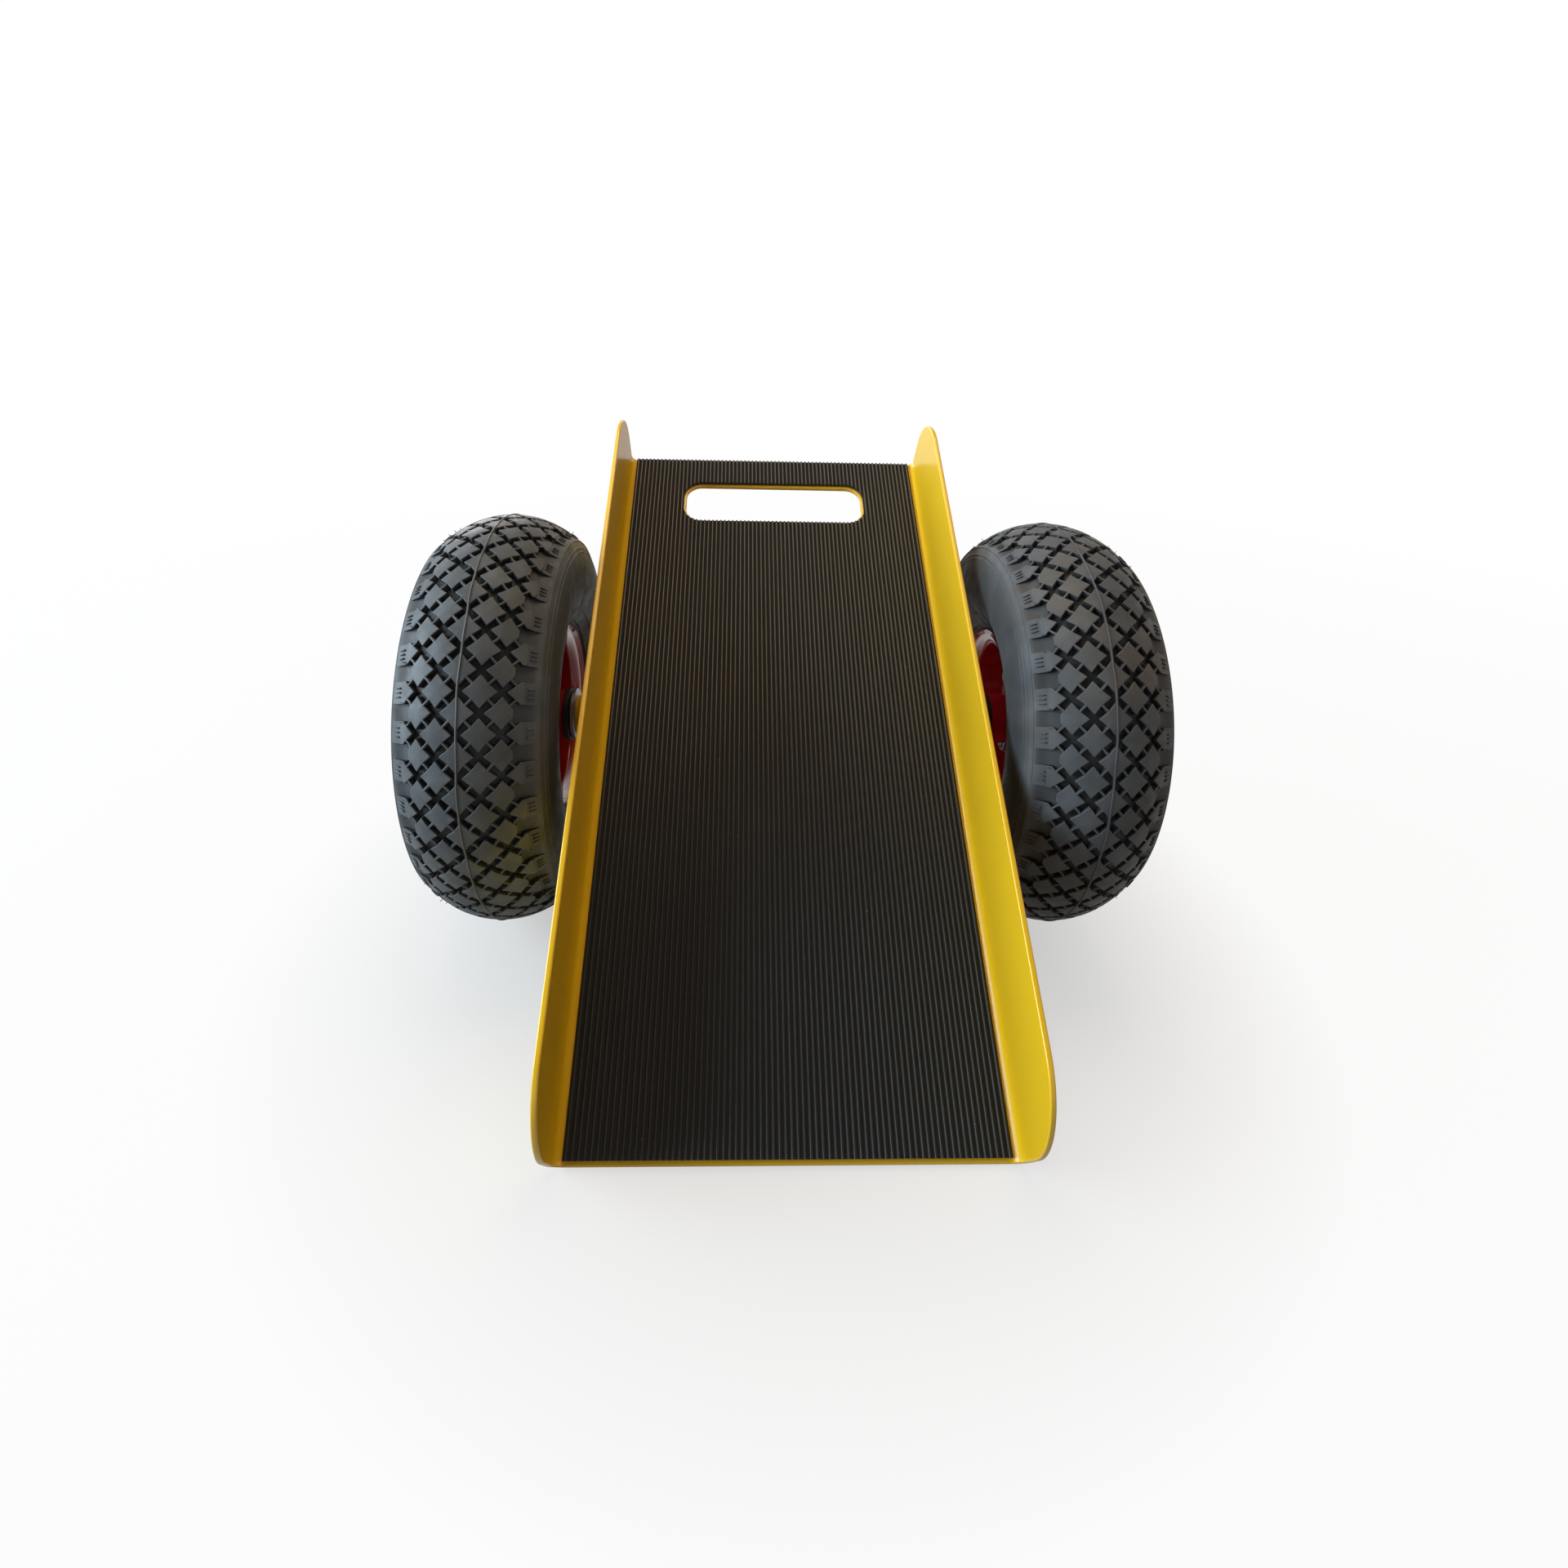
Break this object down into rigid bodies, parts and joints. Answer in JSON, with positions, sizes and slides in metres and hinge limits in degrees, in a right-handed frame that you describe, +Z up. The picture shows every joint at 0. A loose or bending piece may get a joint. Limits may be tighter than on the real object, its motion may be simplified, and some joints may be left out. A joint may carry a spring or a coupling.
{
  "type": "panel dolly",
  "caption": "Wheeled panel dolly: a folded steel tray with upturned sides, a hand slot and a ribbed rubber mat, on a through axle with pneumatic tyres.",
  "frame": {"origin": "on the floor under the middle of the object's box, with the front end of the tray down", "axes": "+X along the axle, +Y towards the hand slot, +Z up"},
  "size_m": [0.4286, 0.4212, 0.3023],
  "materials": {
    "yellow_coat": "gloss powder coat",
    "mat_rubber": "ribbed, satin",
    "tyre_rubber": "moulded, satin",
    "tube_rubber": "smooth",
    "red_enamel": "gloss enamel",
    "bright_steel": "turned",
    "zinc_plate": "zinc plated",
    "seal_rubber": "satin",
    "cage_plastic": "moulded",
    "valve_brass": "turned",
    "cap_plastic": "moulded"
  },
  "bodies": {
    "chassis": {"tray": "yellow_coat", "ribbed_mat": "mat_rubber", "axle_tube": "yellow_coat", "axle": "bright_steel", "left_inner_washer": "zinc_plate", "left_outer_washer": "zinc_plate", "left_split_pin": "zinc_plate", "right_inner_washer": "zinc_plate", "right_outer_washer": "zinc_plate", "right_split_pin": "zinc_plate"},
    "left_wheel": {"left_tyre": "tyre_rubber", "left_inner_tube": "tube_rubber", "left_rim_outer_half": "red_enamel", "left_rim_inner_half": "red_enamel", "left_hub": "red_enamel", "left_hub_seals": "seal_rubber", "left_rim_bolts": "zinc_plate", "left_rim_washers": "zinc_plate", "left_rim_nuts": "zinc_plate", "left_valve_stem": "valve_brass", "left_valve_cap": "cap_plastic"},
    "right_wheel": {"right_tyre": "tyre_rubber", "right_inner_tube": "tube_rubber", "right_rim_outer_half": "red_enamel", "right_rim_inner_half": "red_enamel", "right_hub": "red_enamel", "right_hub_seals": "seal_rubber", "right_rim_bolts": "zinc_plate", "right_rim_washers": "zinc_plate", "right_rim_nuts": "zinc_plate", "right_valve_stem": "valve_brass", "right_valve_cap": "cap_plastic"},
    "left_roller_set": {"left_rollers": "bright_steel", "left_roller_cage": "cage_plastic"},
    "right_roller_set": {"right_rollers": "bright_steel", "right_roller_cage": "cage_plastic"}
  },
  "joints": [
    {"name": "left_wheel_spin", "type": "hinge", "parent": "chassis", "child": "left_wheel", "pos_m": [0, 0.03053, 0.13], "axis": [1, 0, 0], "continuous": true},
    {"name": "right_wheel_spin", "type": "hinge", "parent": "chassis", "child": "right_wheel", "pos_m": [0, 0.03053, 0.13], "axis": [1, 0, 0], "continuous": true},
    {"name": "left_roller_turn", "type": "hinge", "parent": "chassis", "child": "left_roller_set", "pos_m": [0, 0.03053, 0.13], "axis": [1, 0, 0], "continuous": true},
    {"name": "right_roller_turn", "type": "hinge", "parent": "chassis", "child": "right_roller_set", "pos_m": [0, 0.03053, 0.13], "axis": [1, 0, 0], "continuous": true}
  ],
  "couplings": [
    {"joint": "left_roller_turn", "follows": "left_wheel_spin", "ratio": 0.58472},
    {"joint": "right_roller_turn", "follows": "right_wheel_spin", "ratio": 0.58472}
  ]
}
